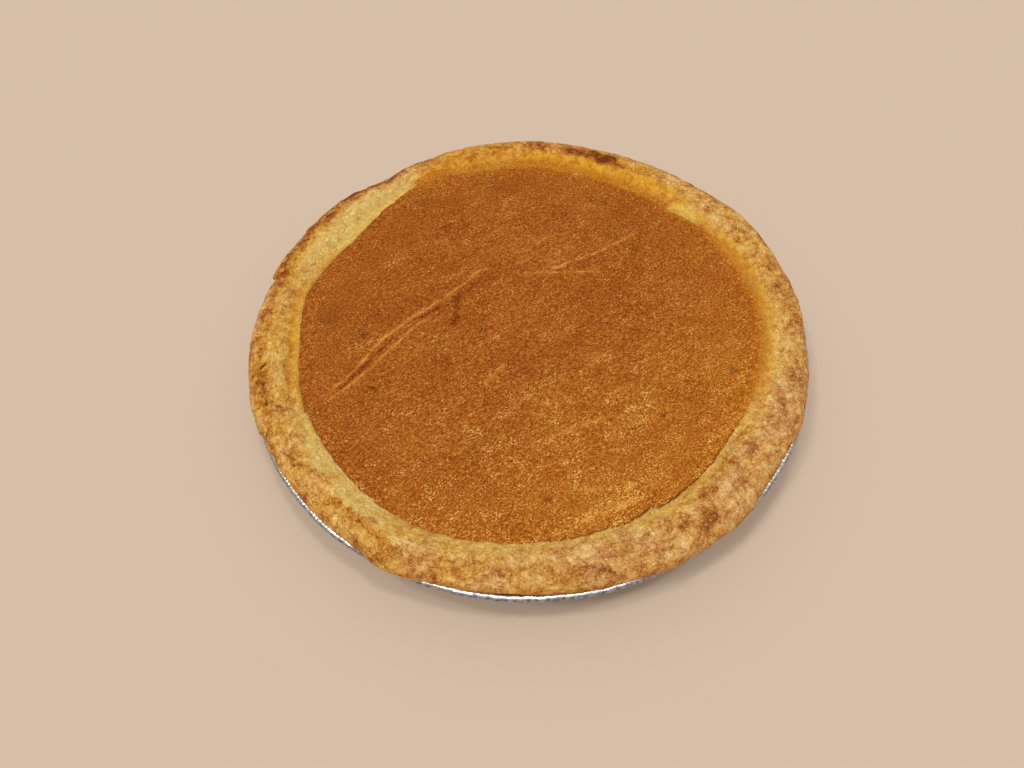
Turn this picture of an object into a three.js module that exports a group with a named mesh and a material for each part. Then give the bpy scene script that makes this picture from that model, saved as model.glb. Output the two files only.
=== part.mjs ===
// A baked pumpkin pie in its foil tin: the tin, the pastry case that lines it and rises into
// a thick hand-formed rim, and the set filling. Millimetres, +Z up. The origin is the centre
// of the tin's base, on the surface that the tin stands on.
import * as THREE from "three";

const { PI, asin, atan2, cos, exp, hypot, sin, tan } = Math;
const DEGREE = PI / 180;
const STATIONS = 72; // steps round the pie

// The tin.
const TIN_RADIUS = 121; // to the outside of the rolled edge
const TIN_DEPTH = 28; // from the base to the top of the flange
const TIN_BASE_RADIUS = 93.5; // where the wall's line meets the base's
const FLANGE_WIDTH = 10; // the rolled edge included
const CORNER_RADIUS = 7; // between the base and the wall
const ROLL_RADIUS = 1.1; // the rolled edge's section
const FOIL = 0.4; // thickness of the sheet
const BEAD_RADIUS = 78; // the stiffening bead pressed up round the base
const BEAD_HALF_WIDTH = 2.6;
const BEAD_HEIGHT = 0.9;

// The pastry and the filling.
const PASTRY = 4.2; // thickness on the tin's base and wall
const RIM_RADIUS = 120.6; // mean outer radius of the rim
const RIM_WIDTH = 20.2; // mean width of the rim
const RIM_HEIGHT = 7.3; // mean height of the rim above the flange
const CREST_SHARE = 0.44; // how far out over the rim's width its crest lies
const EDGE_HEIGHT = 1.7; // the rim's widest point above its underside
const EDGE_UNDERCUT = 1.5; // how far the rim's foot lies inside its widest point
const OUTER_FULLNESS = 2.4; // of the rim's outer side: 2 is an ellipse, more is squarer
const RIM_STEPS = 6; // on each side of the crest
const FILLING_LEVEL = 31.2; // height of the filling where it meets the rim
const FILLING_SAG = 0.9; // how far the middle of the filling has sunk
const GAP = 0.3; // clearance between neighbouring solids

const SEAT = TIN_DEPTH + GAP; // the rim's underside, on the flange
const PASTRY_OUTSIDE = FOIL + GAP; // square distance from the tin's outer face
const PASTRY_INSIDE = PASTRY_OUTSIDE + PASTRY;

// The rim was formed by hand. Each row swells or dents it: the place, in degrees round from
// +X, the half-width in degrees, and the change in mm.
const OUTER_SWELLS = [
  [10, 6, 1.2],
  [29, 9, 2.0],
  [60, 16, -1.0],
  [101, 7, 0.7],
  [122, 8, -1.9],
  [147, 12, 0.8],
  [185, 9, 0.8],
  [222, 10, -0.5],
  [243, 7, 1.8],
  [268, 10, -1.0],
  [293, 8, 0.7],
  [307, 6, 0.8],
  [325, 8, -0.9],
  [352, 8, -1.1],
];
const INNER_SWELLS = [
  [4, 12, 1.9],
  [39, 4, -2.4],
  [67, 8, -1.6],
  [118, 8, 3.6],
  [146, 12, -3.5],
  [170, 4, 1.4],
  [186, 8, -1.2],
  [245, 22, 2.5],
  [296, 6, -2.9],
  [324, 15, -1.9],
];
const CREST_SWELLS = [
  [20, 14, 0.4],
  [68, 12, -0.4],
  [96, 12, 0.4],
  [122, 10, -1.1],
  [152, 12, 0.5],
  [176, 7, -0.4],
  [198, 9, 0.4],
  [240, 12, 0.4],
  [270, 10, -0.4],
  [312, 12, 0.6],
  [345, 9, -0.4],
];
// Where the edge of the dough juts out over a slow run-up and then breaks back: the place of
// the break, the run-up in degrees, and the overhang in mm.
const TEARS = [
  [163, 16, 1.3],
  [203, 9, 1.2],
];

function swell(place, halfWidth, amount, angle) {
  const apart = (((angle / DEGREE - place + 180) % 360) + 360) % 360;
  return amount * exp(-(((apart - 180) / halfWidth) ** 2));
}

function tear(place, runUp, overhang, angle) {
  const before = (((place - angle / DEGREE) % 360) + 360) % 360;
  return before < runUp ? overhang * (1 - before / runUp) ** 2 : 0;
}

const total = (rows, shape, angle) =>
  rows.reduce((sum, row) => sum + shape(...row, angle), 0);

// The rim's plan and height at an angle round the pie.
function rimAt(angle) {
  const outer =
    RIM_RADIUS + total(OUTER_SWELLS, swell, angle) + total(TEARS, tear, angle);
  const inner = RIM_RADIUS - RIM_WIDTH + total(INNER_SWELLS, swell, angle);
  const crest = inner + CREST_SHARE * (outer - inner);
  const top = SEAT + RIM_HEIGHT + total(CREST_SWELLS, swell, angle);
  const level = asin((FILLING_LEVEL - SEAT) / (top - SEAT));
  const innerReach = (crest - inner) / cos(level);
  return { outer, inner, crest, top, level, innerReach };
}

// Points on an arc from one angle in degrees to another, both ends included.
function arc([r, z], radius, from, to, steps) {
  return Array.from({ length: steps + 1 }, (_, i) => {
    const angle = (from + ((to - from) * i) / steps) * DEGREE;
    return [r + radius * cos(angle), z + radius * sin(angle)];
  });
}

// The line of a dish with a flat base, a round corner and a flared wall, from the corner up
// to a height. inset moves the line inwards, square to itself.
const WALL_RUN = TIN_RADIUS - FLANGE_WIDTH - TIN_BASE_RADIUS;
const WALL_RISE = TIN_DEPTH - FOIL;
const WALL_SLOPE = atan2(WALL_RISE, WALL_RUN);
const WALL_LENGTH = hypot(WALL_RUN, WALL_RISE);

const cornerLine = (inset) =>
  arc(
    [TIN_BASE_RADIUS - CORNER_RADIUS * tan(WALL_SLOPE / 2), CORNER_RADIUS],
    CORNER_RADIUS - inset,
    -90,
    WALL_SLOPE / DEGREE - 90,
    2,
  );

function wallPoint(inset, height) {
  const along = (height - (inset * WALL_RUN) / WALL_LENGTH) / WALL_RISE;
  const inwards = (inset * WALL_RISE) / WALL_LENGTH;
  return [TIN_BASE_RADIUS + WALL_RUN * along - inwards, height];
}

// The stiffening bead, from the base at a height.
const beadLine = (height) => [
  [BEAD_RADIUS - BEAD_HALF_WIDTH, height],
  [BEAD_RADIUS, height + BEAD_HEIGHT],
  [BEAD_RADIUS + BEAD_HALF_WIDTH, height],
];

// The tin: the underside out to the rolled edge, and back over the upper side.
const FLANGE_BEND = 1.5; // the wall turns into the flange over this width and height

function tinSection() {
  const rollCentre = [TIN_RADIUS - ROLL_RADIUS, TIN_DEPTH - ROLL_RADIUS];
  const flangeStart = TIN_RADIUS - FLANGE_WIDTH + FLANGE_BEND;
  const underside = TIN_DEPTH - FOIL;
  return [
    [0, 0],
    ...beadLine(0),
    ...cornerLine(0),
    wallPoint(0, underside - FLANGE_BEND),
    [flangeStart, underside],
    [rollCentre[0] - ROLL_RADIUS, underside],
    ...arc(rollCentre, ROLL_RADIUS, -160, 90, 5),
    [flangeStart - FOIL, TIN_DEPTH],
    wallPoint(FOIL, TIN_DEPTH - FLANGE_BEND),
    ...cornerLine(FOIL).reverse(),
    ...beadLine(FOIL).reverse(),
    [0, FOIL],
  ];
}

// The rim's surface, from its foot on the flange over the crest and down to the filling.
function rimLine({ outer, crest, top, level, innerReach }) {
  const widest = SEAT + EDGE_HEIGHT;
  const outerSide = Array.from({ length: RIM_STEPS + 1 }, (_, i) => {
    const t = (i / RIM_STEPS) * (PI / 2);
    return [
      crest + (outer - crest) * cos(t) ** (2 / OUTER_FULLNESS),
      widest + (top - widest) * sin(t) ** (2 / OUTER_FULLNESS),
    ];
  });
  const innerSide = Array.from({ length: RIM_STEPS }, (_, i) => {
    const t = PI / 2 - ((i + 1) / RIM_STEPS) * (PI / 2 - level);
    return [crest - innerReach * cos(t), SEAT + (top - SEAT) * sin(t)];
  });
  return [
    [outer - EDGE_UNDERCUT, SEAT],
    [outer - EDGE_UNDERCUT / 4, SEAT + EDGE_HEIGHT / 3],
    ...outerSide,
    ...innerSide,
  ];
}

// The pastry's inner face under the filling, or a face that keeps a gap to it, down to the
// middle of the base.
const innerFace = ({ crest, innerReach }, gap) => [
  [crest - innerReach - gap, SEAT],
  ...cornerLine(PASTRY_INSIDE + gap).reverse(),
  [0, PASTRY_INSIDE + gap],
];

function crustSection(angle) {
  const rim = rimAt(angle);
  return [
    [0, PASTRY_OUTSIDE],
    ...beadLine(PASTRY_OUTSIDE),
    ...cornerLine(PASTRY_OUTSIDE),
    wallPoint(PASTRY_OUTSIDE, TIN_DEPTH - FLANGE_BEND),
    [TIN_RADIUS - FLANGE_WIDTH + FLANGE_BEND, SEAT],
    ...rimLine(rim),
    ...innerFace(rim, 0),
  ];
}

// The filling's top is nearly flat: it sags a little away from the rim.
const FILLING_RINGS = [1, 0.95, 0.85, 0.7, 0.5, 0.25, 0];

function fillingSection(angle) {
  const rim = rimAt(angle);
  const top = FILLING_RINGS.map((share) => [
    (rim.inner - GAP) * share,
    FILLING_LEVEL - FILLING_SAG * (1 - share ** 4),
  ]);
  return [...innerFace(rim, GAP).reverse(), ...top];
}

// A closed solid whose section changes round the pie. sectionAt(angle) gives the section's
// [radius, height] points from the axis to the axis, underside first. Each four-sided patch is
// split along the diagonal that climbs with the angle, so two surfaces that face each other
// across a gap are split alike.
function turned(sectionAt) {
  const positions = [];
  for (let i = 0; i < STATIONS; i++) {
    const angle = (i / STATIONS) * 2 * PI;
    for (const [r, z] of sectionAt(angle)) {
      positions.push(r * cos(angle), r * sin(angle), z);
    }
  }
  const count = positions.length / 3 / STATIONS;
  const heightOf = (corner) => positions[3 * corner + 2];
  const index = [];
  for (let i = 0; i < STATIONS; i++) {
    for (let j = 0; j + 1 < count; j++) {
      const a = i * count + j;
      const b = ((i + 1) % STATIONS) * count + j;
      const patch =
        heightOf(a + 1) > heightOf(a)
          ? [[a, b, b + 1], [a, b + 1, a + 1]]
          : [[a, b, a + 1], [b, b + 1, a + 1]];
      index.push(...patch.filter((corners) => !collapsed(corners, count)).flat());
    }
  }
  const geometry = new THREE.BufferGeometry();
  geometry.setAttribute("position", new THREE.Float32BufferAttribute(positions, 3));
  geometry.setIndex(index);
  geometry.computeVertexNormals();
  return geometry;
}

// Whether two corners of a triangle are one end of the section, on the axis.
function collapsed(corners, count) {
  const places = corners.map((corner) => corner % count);
  return places.filter((place) => place === 0 || place === count - 1).length > 1;
}

// A plain solid of revolution round +Z, from the same kind of section.
const lathed = (section) =>
  new THREE.LatheGeometry(
    section.map(([r, z]) => new THREE.Vector2(r, z)),
    STATIONS,
  ).rotateX(PI / 2);

function piece(name, geometry, color, roughness, metalness = 0) {
  const material = new THREE.MeshStandardMaterial({ color, roughness, metalness });
  const mesh = new THREE.Mesh(geometry, material);
  mesh.name = name;
  return mesh;
}

const pie = new THREE.Group();
pie.add(
  piece("foil_tin", lathed(tinSection()), 0xc9ccce, 0.3, 1),
  piece("crust", turned(crustSection), 0xd6a055, 0.75),
  piece("filling", turned(fillingSection), 0xa65f24, 0.5),
);

export default pie;
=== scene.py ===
"""A pumpkin pie in its foil tin. Fine meshes of the tin, the pastry case and the filling stand
for the CAD solids, with procedural materials, on a pale floor under soft light.
Shapes are worked out in millimetres and scaled to metres when a mesh is made."""

import itertools
import math
from types import SimpleNamespace

import bpy
import numpy as np
from mathutils import Matrix, Vector


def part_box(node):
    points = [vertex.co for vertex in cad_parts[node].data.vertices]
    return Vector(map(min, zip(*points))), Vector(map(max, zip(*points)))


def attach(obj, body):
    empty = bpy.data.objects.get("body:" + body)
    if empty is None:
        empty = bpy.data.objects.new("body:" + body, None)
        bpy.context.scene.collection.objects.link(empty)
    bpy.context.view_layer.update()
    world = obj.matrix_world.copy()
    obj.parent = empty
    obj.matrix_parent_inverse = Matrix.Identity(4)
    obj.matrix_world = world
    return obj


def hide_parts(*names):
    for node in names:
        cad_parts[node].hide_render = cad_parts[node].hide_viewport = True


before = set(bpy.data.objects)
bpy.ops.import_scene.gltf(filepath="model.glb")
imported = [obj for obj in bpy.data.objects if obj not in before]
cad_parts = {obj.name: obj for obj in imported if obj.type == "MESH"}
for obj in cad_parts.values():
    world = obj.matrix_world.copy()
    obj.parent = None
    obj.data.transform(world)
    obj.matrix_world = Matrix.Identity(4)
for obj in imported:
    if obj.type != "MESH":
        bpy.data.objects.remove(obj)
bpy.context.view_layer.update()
MM = 0.001

# Sizes that the frame gives, in mm.
TIN_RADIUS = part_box("foil_tin")[1].x / MM
FLANGE_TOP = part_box("foil_tin")[1].z / MM
FILLING_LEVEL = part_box("filling")[1].z / MM

# The tin.
TIN_BASE_RADIUS = 93.5
FLANGE_WIDTH = 10
CORNER_RADIUS = 7
ROLL_RADIUS = 1.5
ROLL_INSIDE = TIN_RADIUS - 2 * ROLL_RADIUS
ROLL_SIDES = 18
ROLL_CRIMPS = 440
FOIL = 0.4
FLANGE_BEND = 1.5
BASE_FLAT_RADIUS = 60
TROUGH_DEPTH = 0.9
TROUGH_HALF_WIDTH = 1.6
BEAD_RADIUS = 78
BEAD_HALF_WIDTH = 2.6
BEAD_HEIGHT = 0.9
PLEATS = 150
PLEAT_DEPTH = 0.42
PLEAT_PRESS = 0.12

# The pastry and the filling.
PASTRY = 4.2
RIM_RADIUS = 120.6
RIM_WIDTH = 20.2
RIM_HEIGHT = 7.3
CREST_SHARE = 0.44
EDGE_HEIGHT = 1.7
EDGE_UNDERCUT = 1.5
FILLING_SAG = 0.9
FILLING_TUCK = 0.5
SKIN_CLIMB = 3.0
FOOT_SHARE = SKIN_CLIMB / RIM_WIDTH
GAP = 0.3
SEAT = FLANGE_TOP + GAP
FILLING_FOOT = FILLING_LEVEL - 0.5
PASTRY_OUTSIDE = FOIL + GAP
PASTRY_INSIDE = PASTRY_OUTSIDE + PASTRY
# Below the filling's edge the dough turns down between these heights, this far behind the edge.
NECK_TOP = FILLING_LEVEL - 1.2
NECK_FOOT = SEAT - 1
NECK_LEAN = 0.6
FILLING_LEAN = 0.4

# The crust's grain is laid out at this radius, and drawn out a little across the rim.
GRAIN_RADIUS = 110
GRAIN_STRETCH = 1.1

# Mesh fineness.
CRUST_STATIONS = 1280
CRUST_STEPS = 62
TIN_STATIONS = 1120
EDGE_STATIONS = 2400
FILLING_CELLS = 298

# Swells and dents of the hand-formed rim: place and half-width in degrees, change in mm.
OUTER_SWELLS = [
    (8, 5, 0.6), (31, 8, 1.4), (60, 16, -1.6), (94, 40, -0.9), (101, 7, 0.7), (115, 3, -1.4),
    (127.5, 6, -3.0), (147, 12, 0.4), (167.5, 2, -1.3), (185, 9, 0.4), (198, 6, 1.2),
    (222, 10, -0.6), (245, 5, 1.9), (268, 10, -0.5), (295, 6, 1.3), (309, 6, 1.5),
    (325, 8, -0.9), (333.5, 3.5, 1.0), (345.5, 2, 0.7), (352, 8, -1.0),
]
INNER_SWELLS = [
    (4, 12, 1.9), (60, 13, -3.4), (76, 5, -2.0), (118, 8, 3.6), (146, 12, -3.5),
    (170, 4, 1.4), (186, 8, -1.2), (245, 22, 2.5), (324, 15, -1.9),
]
CREST_SWELLS = [
    (95, 45, -0.5),
    (20, 14, 0.4), (68, 12, -0.4), (96, 12, 0.2), (122, 10, -1.1), (152, 12, 0.5),
    (176, 7, -0.4), (198, 9, 0.4), (240, 12, 0.4), (270, 10, -0.4), (312, 12, 0.6),
    (345, 9, -0.4),
]
# Where the soft foil edge is pressed out of round, in the same form.
TIN_SWELLS = [(226, 14, 0.4), (270, 24, 0.6), (335, 26, 0.6)]
# Torn edges of the dough: the place of the break, the run-up in degrees, the overhang in mm.
OUTER_TEARS = [(151.5, 6, 0.4), (166, 14, 1.2), (206, 9, 0.9)]
INNER_TEARS = [
    (45.6, 16, -3.4), (206, 10, 1.0), (274, 6, -0.6), (287.5, 7, -1.0), (298.2, 8, -1.9),
]
# Stretches where the inside of the rim runs out gently: place and half-width in degrees, share.
SOFT_FEET = [
    (82, 34, 0.9), (140, 22, 1.0), (184, 20, 0.9), (232, 30, 0.75), (285, 14, 0.35),
    (320, 18, 0.9), (8, 30, 0.6),
]
# Thin raised lips of dough along the filling: place and half-width in degrees, rise and the
# furrow behind it in mm.
LIPS = [(183, 22, 0.30, 0.35), (140, 20, 0.14, 0.1), (40, 4.5, 0.5, 0.1)]
# Stretches where the filling's skin climbs the dough: place and half-width in degrees, share.
SKINS = [(84, 34, 1.0), (116, 8, 0.6), (18, 14, 0.4), (350, 22, 0.45)]
# Stretches where a seam opens at the filling's edge, painted dark as the shade in its gap, in the
# same form.
SEAMS = [
    (37, 7, 1.0), (215, 25, 0.3), (286, 8, 0.6), (308, 18, 1.0), (326, 10, 0.6),
]
# Cracks in the crust: points in plan in mm, half-width and depth in mm.
CRACKS = [
    ([(-117, -29), (-113, -25.5), (-109.5, -21.5)], 0.35, 0.8),
    ([(-106, -56), (-104, -53)], 0.45, 0.7),
    ([(27, -98.3), (28.6, -102)], 0.4, 0.5),
    ([(-107, 57), (-104, 54)], 0.45, 0.6),
    ([(46.7, -87), (46.2, -90.5)], 0.35, 0.4),
]

# Browned patches on the crust: place in degrees, place across the rim from 0 outside to 1 at
# the filling, half-width in degrees, half-width across, strength.
BROWNED = [
    (3, 0.36, 7.0, 0.18, 0.25), (13, 0.32, 4.0, 0.14, 0.2), (15, 0.45, 20, 0.40, 0.12),
    (27, 0.42, 3.5, 0.14, 0.25), (36, 0.28, 4.0, 0.14, 0.2), (62.5, 0.57, 2.6, 0.10, 0.45),
    (66.4, 0.49, 3.6, 0.18, 0.60), (70.8, 0.37, 3.8, 0.26, 0.70), (77.4, 0.44, 2.8, 0.18, 0.62),
    (80, 0.30, 30, 0.40, 0.25), (86, 0.42, 2.6, 0.18, 0.60), (98, 0.45, 9.0, 0.24, 0.3),
    (110, 0.55, 10, 0.34, 0.3), (120, 0.20, 8.0, 0.16, 0.45), (133, 0.20, 9.0, 0.18, 0.6),
    (145, 0.22, 9.0, 0.20, 0.55), (156, 0.20, 7.0, 0.18, 0.6), (166, 0.32, 5.0, 0.18, 0.6),
    (176, 0.32, 5.0, 0.16, 0.45), (186, 0.28, 4.0, 0.14, 0.45), (197, 0.32, 5.0, 0.17, 0.6),
    (204, 0.42, 4.0, 0.16, 0.4), (217, 0.36, 4.0, 0.15, 0.6), (235, 0.46, 4.5, 0.13, 0.45),
    (243, 0.34, 4.0, 0.13, 0.5), (254, 0.40, 5.0, 0.12, 0.4), (266, 0.34, 5.0, 0.12, 0.3),
    (278.7, 0.30, 5.0, 0.13, 0.5), (292, 0.33, 4.0, 0.13, 0.5), (298.6, 0.46, 2.4, 0.10, 0.4),
    (305, 0.32, 3.6, 0.16, 0.38), (308.5, 0.72, 3.0, 0.11, 0.5), (316, 0.36, 3.6, 0.15, 0.45),
    (320, 0.86, 14, 0.16, 0.15), (326, 0.44, 4.0, 0.14, 0.4), (334, 0.38, 4.0, 0.14, 0.4),
    (345, 0.36, 5.0, 0.14, 0.35),
]
# Pale smooth dough beside the filling: place and half-width in degrees, width across, strength.
PALE = [
    (143, 24, 0.52, 0.95), (228, 22, 0.38, 1.0), (262, 22, 0.20, 0.6), (287, 14, 0.14, 0.5),
    (322, 17, 0.18, 0.32), (20, 18, 0.26, 0.3), (352, 14, 0.26, 0.5),
]
# Yellow and orange bands that the filling's edge left on the dough, in the same form.
STAINED = [
    (14, 30, 0.24, 0.85), (72, 36, 0.44, 1.0), (74, 22, 0.80, 0.30), (104, 15, 0.92, 0.60),
    (109, 14, 0.40, 0.9), (158, 6, 0.14, 0.7), (182, 22, 0.22, 0.8), (244, 5, 0.30, 0.5),
    (350, 16, 0.24, 0.8),
]
# Bright yellow edges of dough along the filling, in the same form; part of their brightness is
# painted light on the shaded wall under the lips.
LIT_EDGES = [
    (40, 4.2, 0.20, 1.0), (140, 22, 0.06, 0.9), (183, 21, 0.07, 0.95), (212, 6, 0.18, 0.6),
    (266, 6, 0.08, 0.6), (285, 3, 0.12, 0.6), (300, 2.4, 0.22, 0.7),
]

# Streaks that a spatula left in the filling: points in mm, half-width and height in mm.
# Their heights are also painted into the filling's colour, as highlight on ridges and shade in
# furrows.
STREAKS = [
    ([(-89, -41), (-75, -25), (-63, -6), (-50, 6), (-41, 13), (-30, 23), (-22, 32), (-14, 35)],
     0.75, 0.42),
    ([(-86, -41), (-75, -31), (-63, -17), (-49, 1), (-39, 7)], 0.7, 0.42),
    ([(-81, -36), (-66, -15), (-58, -5)], 0.8, -0.30),
    ([(-48, 5), (-38, 12)], 0.9, -0.40),
    ([(-39, 9), (-26, 21), (-20, 28)], 0.6, -0.25),
    ([(-12, 33), (-4, 36), (4, 41)], 0.7, 0.3),
    ([(8, 32), (18, 35.5), (28, 40), (45, 49), (57, 58)], 0.7, 0.30),
    ([(12, 31), (28, 37.6), (40, 44)], 0.6, -0.2),
    ([(-3, 30), (12, 30.6), (38, 30.4)], 0.6, 0.35),
    ([(-24, -13), (-10, -4)], 0.6, 0.3),
    ([(-19, -31), (-8, -19)], 1.0, 0.35),
    ([(5, 48), (11, 54)], 0.8, 0.3),
    ([(-31, 20), (-31, 6), (-34, -1)], 1.2, -0.4),
    ([(20, -27), (38, -12)], 1.2, 0.2),
    ([(32, -38), (46, -30)], 1.2, 0.2),
    ([(1, -64), (12, -55), (40, -44)], 1.2, 0.22),
    ([(18, -80), (36, -79), (52, -77)], 1.5, 0.22),
    ([(15, -94), (30, -88), (45, -82)], 1.5, 0.22),
]
# Dark spots on the filling: place in mm, radius in mm, strength.
SPOTS = [
    (-87, 5, 6.0, 0.28), (-72, -4, 2.2, 0.6), (-20, -2, 1.5, 0.9), (-65, -32, 1.2, 0.7),
    (20, 67.5, 0.9, 1.0), (39, 74, 1.0, 0.7), (52, 44, 3.2, 0.3), (41, 52, 2.6, 0.25),
    (-67, 6.5, 1.0, 0.8), (55, -47, 0.9, 1.0), (85, -15, 1.0, 0.7), (86, -26, 2.0, 0.5),
    (7, -84, 1.2, 0.6), (-51, 77, 4.0, 0.25), (-14, 88, 5.0, 0.2), (33, 77, 2.0, 0.5),
]

# Places where the filling gets more painted glints, in the same form.
GLINTS = [
    (-60, 41, 5, 0.9), (45, 50, 4, 0.5), (-8, 69, 3, 0.6), (-14, -25, 6, 0.5), (35, -79, 10, 0.5),
    (30, -88, 10, 0.5), (45, -40, 8, 0.3), (-60, -20, 6, 0.3),
]
# The way that the spatula went, in degrees.
STREAK_LEAN = 33
# Where the crust is rosier, on the outside: place and half-width in degrees.
ROSY = (316, 62)


# Noise and shape helpers.
def unit_vectors():
    vectors = np.random.default_rng(11).normal(size=(4096, 3))
    return vectors / np.linalg.norm(vectors, axis=1, keepdims=True)


GRADIENTS = unit_vectors()


def noise(points, size, seed):
    """Smooth noise from about -1 to 1 at points in mm, with features of a size in mm."""
    place = points / size
    cell = np.floor(place).astype(np.int64)
    inside = place - cell
    fade = inside ** 3 * (inside * (inside * 6 - 15) + 10)
    total = np.zeros(points.shape[:-1])
    for corner in itertools.product((0, 1), repeat=3):
        x, y, z = np.moveaxis(cell + corner, -1, 0)
        pick = (x * 73856093 ^ y * 19349663 ^ z * 83492791 ^ seed * 26544357) & 4095
        reach = np.sum(GRADIENTS[pick] * (inside - corner), axis=-1)
        total += reach * np.prod(np.where(corner, fade, 1 - fade), axis=-1)
    return total * 1.8


def step(value, low, high):
    """0 below low, 1 above high, smooth between."""
    share = np.clip((value - low) / (high - low), 0, 1)
    return share * share * (3 - 2 * share)


def apart(angle, place):
    """Degrees from a place to an angle, from -180 to 180."""
    return (angle - place + 180) % 360 - 180


def swells(rows, angle):
    """Soft rises and dips, added up."""
    total = 0
    for place, half, change in rows:
        total = total + change * np.exp(-((apart(angle, place) / half) ** 2))
    return total


def tears(rows, angle):
    """Run-ups that each end in a sharp break."""
    total = np.zeros_like(angle)
    for place, run_up, overhang in rows:
        before = -apart(angle, place)
        share = 1 - before / run_up
        total += np.where((before >= 0) & (before < run_up), overhang * share ** 2, 0)
    return total


def line_distance(x, y, points):
    """Distance in plan to a line of points, and how far along it the nearest place is, 0 to 1."""
    best = np.full(x.shape, 1e9)
    along = np.zeros(x.shape)
    spans = len(points) - 1
    for k, ((ax, ay), (bx, by)) in enumerate(zip(points, points[1:])):
        dx, dy = bx - ax, by - ay
        t = np.clip(((x - ax) * dx + (y - ay) * dy) / (dx * dx + dy * dy), 0, 1)
        distance = np.hypot(x - ax - t * dx, y - ay - t * dy)
        nearer = distance < best
        best = np.where(nearer, distance, best)
        along = np.where(nearer, (k + t) / spans, along)
    return best, along


def band(rows, angle, across):
    """How far bands beside the filling cover a place on the rim, 0 to 1."""
    total = np.zeros(np.broadcast(angle, across).shape)
    for place, half, width, strength in rows:
        beside = np.exp(-((apart(angle, place) / half) ** 4))
        edge = 1 - width * np.sqrt(beside)
        total = np.maximum(total, strength * beside * step(across, edge - 0.07, edge + 0.07))
    return total


# The rim's plan and height.
def rim_at(angle):
    """The rim's outer, inner and crest radius and its height, in mm, at angles in degrees."""
    outer = RIM_RADIUS + swells(OUTER_SWELLS, angle) + tears(OUTER_TEARS, angle)
    inner = RIM_RADIUS - RIM_WIDTH + swells(INNER_SWELLS, angle) + tears(INNER_TEARS, angle)
    crest = inner + CREST_SHARE * (outer - inner)
    turn = np.radians(angle)
    line = RIM_RADIUS * np.stack([np.cos(turn), np.sin(turn), 0 * turn], axis=-1)
    inner = inner + 0.35 * noise(line, 5, 57) + 0.25 * noise(line, 2.2, 58)
    top = SEAT + RIM_HEIGHT + swells(CREST_SWELLS, angle)
    return outer, inner, crest, top


def arc(radius, height, size, start, end, steps):
    angles = np.radians(np.linspace(start, end, steps + 1))
    return [(radius + size * math.cos(a), height + size * math.sin(a)) for a in angles]


WALL_RUN = TIN_RADIUS - FLANGE_WIDTH - TIN_BASE_RADIUS
WALL_RISE = FLANGE_TOP - FOIL
WALL_SLOPE = math.atan2(WALL_RISE, WALL_RUN)
WALL_LENGTH = math.hypot(WALL_RUN, WALL_RISE)


def corner_line(inset, steps):
    """The bend from the base into the wall, at an inset from the tin's underside."""
    centre = TIN_BASE_RADIUS - CORNER_RADIUS * math.tan(WALL_SLOPE / 2)
    end = math.degrees(WALL_SLOPE) - 90
    return arc(centre, CORNER_RADIUS, CORNER_RADIUS - inset, -90, end, steps)


def wall_point(inset, height):
    """The place on the sloping wall at a height, at an inset from the tin's outside."""
    along = (height - inset * WALL_RUN / WALL_LENGTH) / WALL_RISE
    return TIN_BASE_RADIUS + WALL_RUN * along - inset * WALL_RISE / WALL_LENGTH, height


def bead_line(height, steps):
    """The raised ring pressed into the base."""
    line = []
    for share in np.linspace(-1, 1, steps + 1):
        rise = BEAD_HEIGHT * (0.5 + 0.5 * math.cos(math.pi * share))
        line.append((BEAD_RADIUS + share * BEAD_HALF_WIDTH, height + rise))
    return line


# Meshes.
def new_piece(name, vertices, faces, node):
    """A smooth mesh from vertices in mm that stands for a CAD node."""
    mesh = bpy.data.meshes.new(name)
    mesh.from_pydata((vertices * MM).tolist(), [], faces)
    mesh.polygons.foreach_set("use_smooth", np.ones(len(mesh.polygons), dtype=bool))
    mesh.update()
    piece = bpy.data.objects.new(name, mesh)
    bpy.context.scene.collection.objects.link(piece)
    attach(piece, "root")
    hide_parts(node)
    return piece


def paint(piece, name, values):
    """Stores a number for each vertex, which the material reads by name."""
    layer = piece.data.attributes.new(name, "FLOAT", "POINT")
    layer.data.foreach_set("value", np.asarray(values, dtype=np.float32).ravel())


def turned_faces(stations, count):
    """Faces of a solid whose sections run between two shared vertices on the axis."""
    i, j = np.meshgrid(np.arange(stations), np.arange(count - 1), indexing="ij")
    a = i * count + j
    b = (i + 1) % stations * count + j
    quads = np.stack([a, b, b + 1, a + 1], axis=-1).reshape(-1, 4).tolist()
    first = np.arange(stations) * count
    low, high = stations * count, stations * count + 1
    after = np.roll(first, -1)
    bottom = [(low, n, f) for f, n in zip(first.tolist(), after.tolist())]
    top = [(high, f + count - 1, n + count - 1) for f, n in zip(first.tolist(), after.tolist())]
    return quads + bottom + top


def turned_vertices(radius, height, angle, low, high):
    """Vertices of sections at each station, then the two on the axis."""
    x = radius * np.cos(np.radians(angle))
    y = radius * np.sin(np.radians(angle))
    ring = np.stack([x, y, height], axis=-1).reshape(-1, 3)
    return np.vstack([ring, [(0, 0, low), (0, 0, high)]])


def surface_normals(points):
    """Normals of a grid of points that closes on itself along its first axis."""
    round_it = np.roll(points, -1, axis=0) - np.roll(points, 1, axis=0)
    up_it = np.gradient(points, axis=1)
    normals = np.cross(round_it, up_it)
    return normals / np.maximum(np.linalg.norm(normals, axis=-1, keepdims=True), 1e-9)


def even_steps(radius, height, steps):
    """Points at even distances along each station's line."""
    length = np.hypot(np.diff(radius, axis=1), np.diff(height, axis=1))
    reach = np.concatenate([np.zeros((len(radius), 1)), np.cumsum(length, axis=1)], axis=1)
    out_r = np.empty((len(radius), steps))
    out_z = np.empty((len(radius), steps))
    for i, row in enumerate(reach):
        at = np.linspace(0, row[-1], steps)
        out_r[i] = np.interp(at, row, radius[i])
        out_z[i] = np.interp(at, row, height[i])
    return out_r, out_z


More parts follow.
